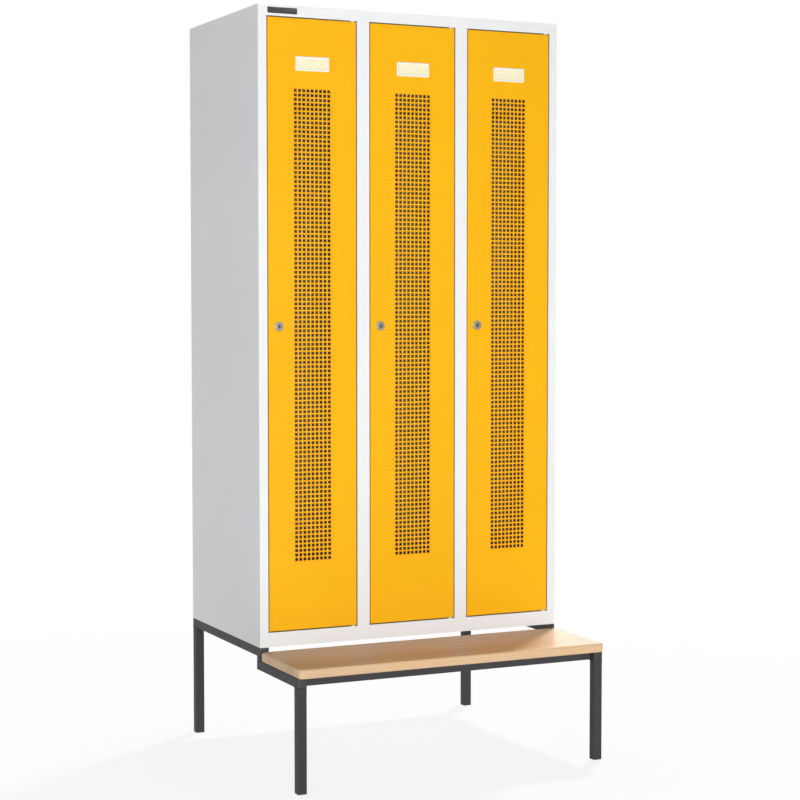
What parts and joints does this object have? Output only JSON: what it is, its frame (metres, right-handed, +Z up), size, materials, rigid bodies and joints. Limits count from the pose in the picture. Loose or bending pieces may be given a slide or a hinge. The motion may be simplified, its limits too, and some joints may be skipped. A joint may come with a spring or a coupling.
{
  "type": "locker cabinet with bench",
  "caption": "Steel locker cabinet with tall hinged doors that have perforated strips, label frames and cam locks, on a square-tube frame with a wooden bench in front.",
  "frame": {"origin": "on the floor, under the centre of the overall footprint of cabinet and bench", "axes": "+Z up; doors and bench face -Y; +X to the right seen from the front"},
  "size_m": [0.9, 0.815, 2.035],
  "materials": {
    "cabinet_grey": "satin powder coat",
    "door_yellow": "satin powder coat",
    "frame_dark": "satin powder coat",
    "bench_wood": "varnished beech",
    "black_plastic": "matte",
    "zinc_steel": "zinc plated",
    "nickel": "nickel plated",
    "white_nylon": "matte",
    "black_rubber": "matte",
    "label_plastic": "gloss",
    "label_card": "matte card"
  },
  "bodies": {
    "carcass": {"roof": "cabinet_grey", "floor_pan": "cabinet_grey", "back_panel": "cabinet_grey", "side_panel_left": "cabinet_grey", "side_panel_right": "cabinet_grey", "partition_1": "cabinet_grey", "partition_2": "cabinet_grey", "hat_shelf_1": "cabinet_grey", "hat_shelf_2": "cabinet_grey", "hat_shelf_3": "cabinet_grey", "rear_leg_left": "frame_dark", "rear_leg_right": "frame_dark", "front_leg_left": "frame_dark", "front_leg_right": "frame_dark", "upper_rail_left": "frame_dark", "upper_rail_right": "frame_dark", "lower_rail_left": "frame_dark", "lower_rail_right": "frame_dark", "rail_spacers": "frame_dark", "rear_cross_rail": "frame_dark", "bench_cross_rail": "frame_dark", "bench_plank": "bench_wood", "foot_caps": "black_plastic", "tube_plugs": "black_plastic", "name_plate": "black_plastic", "bench_screws": "zinc_steel", "frame_bolts": "zinc_steel", "coat_rail_1": "nickel", "coat_rail_2": "nickel", "coat_rail_3": "nickel", "coat_hooks": "nickel", "pivot_bushes": "white_nylon", "door_buffers": "black_rubber"},
    "door_leaf_1": {"door_1": "door_yellow", "perforated_panel_1": "door_yellow", "door_stiffener_1": "door_yellow", "hinge_pins_1": "zinc_steel", "label_frame_1": "label_plastic", "label_card_1": "label_card", "lock_body_1": "nickel"},
    "lock_core_1": {"lock_plug_1": "nickel", "lock_cam_1": "zinc_steel"},
    "door_leaf_2": {"door_2": "door_yellow", "perforated_panel_2": "door_yellow", "door_stiffener_2": "door_yellow", "hinge_pins_2": "zinc_steel", "label_frame_2": "label_plastic", "label_card_2": "label_card", "lock_body_2": "nickel"},
    "lock_core_2": {"lock_plug_2": "nickel", "lock_cam_2": "zinc_steel"},
    "door_leaf_3": {"door_3": "door_yellow", "perforated_panel_3": "door_yellow", "door_stiffener_3": "door_yellow", "hinge_pins_3": "zinc_steel", "label_frame_3": "label_plastic", "label_card_3": "label_card", "lock_body_3": "nickel"},
    "lock_core_3": {"lock_plug_3": "nickel", "lock_cam_3": "zinc_steel"}
  },
  "joints": [
    {"name": "door_1_hinge", "type": "hinge", "parent": "carcass", "child": "door_leaf_1", "pos_m": [-0.177, -0.1255, 1.19], "axis": [0, 0, 1], "range_deg": [0, 110]},
    {"name": "lock_1_turn", "type": "hinge", "parent": "door_leaf_1", "child": "lock_core_1", "pos_m": [-0.393, -0.1325, 1.19], "axis": [0, -1, 0], "range_deg": [0, 90]},
    {"name": "door_2_hinge", "type": "hinge", "parent": "carcass", "child": "door_leaf_2", "pos_m": [0.119, -0.1255, 1.19], "axis": [0, 0, 1], "range_deg": [0, 110]},
    {"name": "lock_2_turn", "type": "hinge", "parent": "door_leaf_2", "child": "lock_core_2", "pos_m": [-0.097, -0.1325, 1.19], "axis": [0, -1, 0], "range_deg": [0, 90]},
    {"name": "door_3_hinge", "type": "hinge", "parent": "carcass", "child": "door_leaf_3", "pos_m": [0.415, -0.1255, 1.19], "axis": [0, 0, 1], "range_deg": [0, 110]},
    {"name": "lock_3_turn", "type": "hinge", "parent": "door_leaf_3", "child": "lock_core_3", "pos_m": [0.199, -0.1325, 1.19], "axis": [0, -1, 0], "range_deg": [0, 90]}
  ]
}
